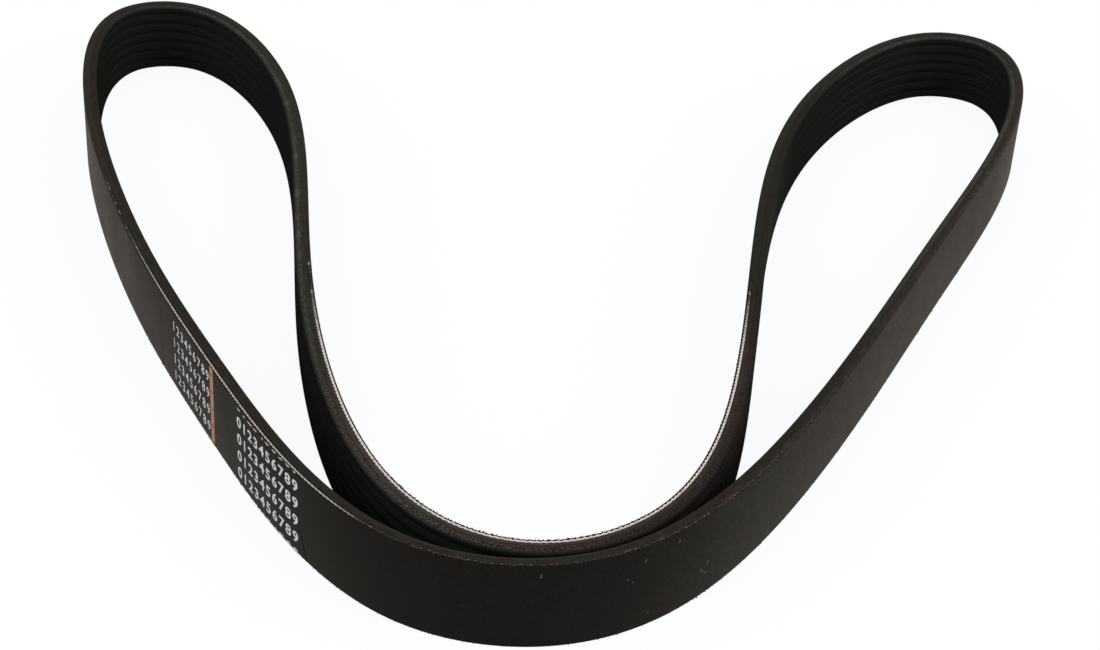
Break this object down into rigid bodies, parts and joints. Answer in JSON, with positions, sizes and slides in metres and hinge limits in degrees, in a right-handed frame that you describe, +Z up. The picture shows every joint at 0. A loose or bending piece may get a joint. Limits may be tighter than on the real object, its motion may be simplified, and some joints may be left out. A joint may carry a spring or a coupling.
{
  "type": "serpentine belt",
  "caption": "Multi-ribbed rubber drive belt standing on its cut edge in a loose folded-in loop, smooth back outside, V-ribs inside, with pale load cord bare in the top edge.",
  "frame": {"origin": "on the surface that the belt stands on, under the middle of its box", "axes": "+Z up, across the width of the belt; +X to the right along the front run; +Y from the front run towards the two lobes"},
  "size_m": [0.3278, 0.3348, 0.0249],
  "materials": {
    "belt_rubber": "matt black moulded rubber, faintly cross-hatched on the smooth back, near black and ribbed inside, brown-grey on the cut edges",
    "load_cord": "off-white twisted polyester yarn, cut open and slightly fuzzy"
  },
  "bodies": {
    "root": {"belt_body": "belt_rubber", "bare_cord_inner_run": "load_cord", "bare_cord_outer_run": "load_cord"}
  },
  "joints": []
}
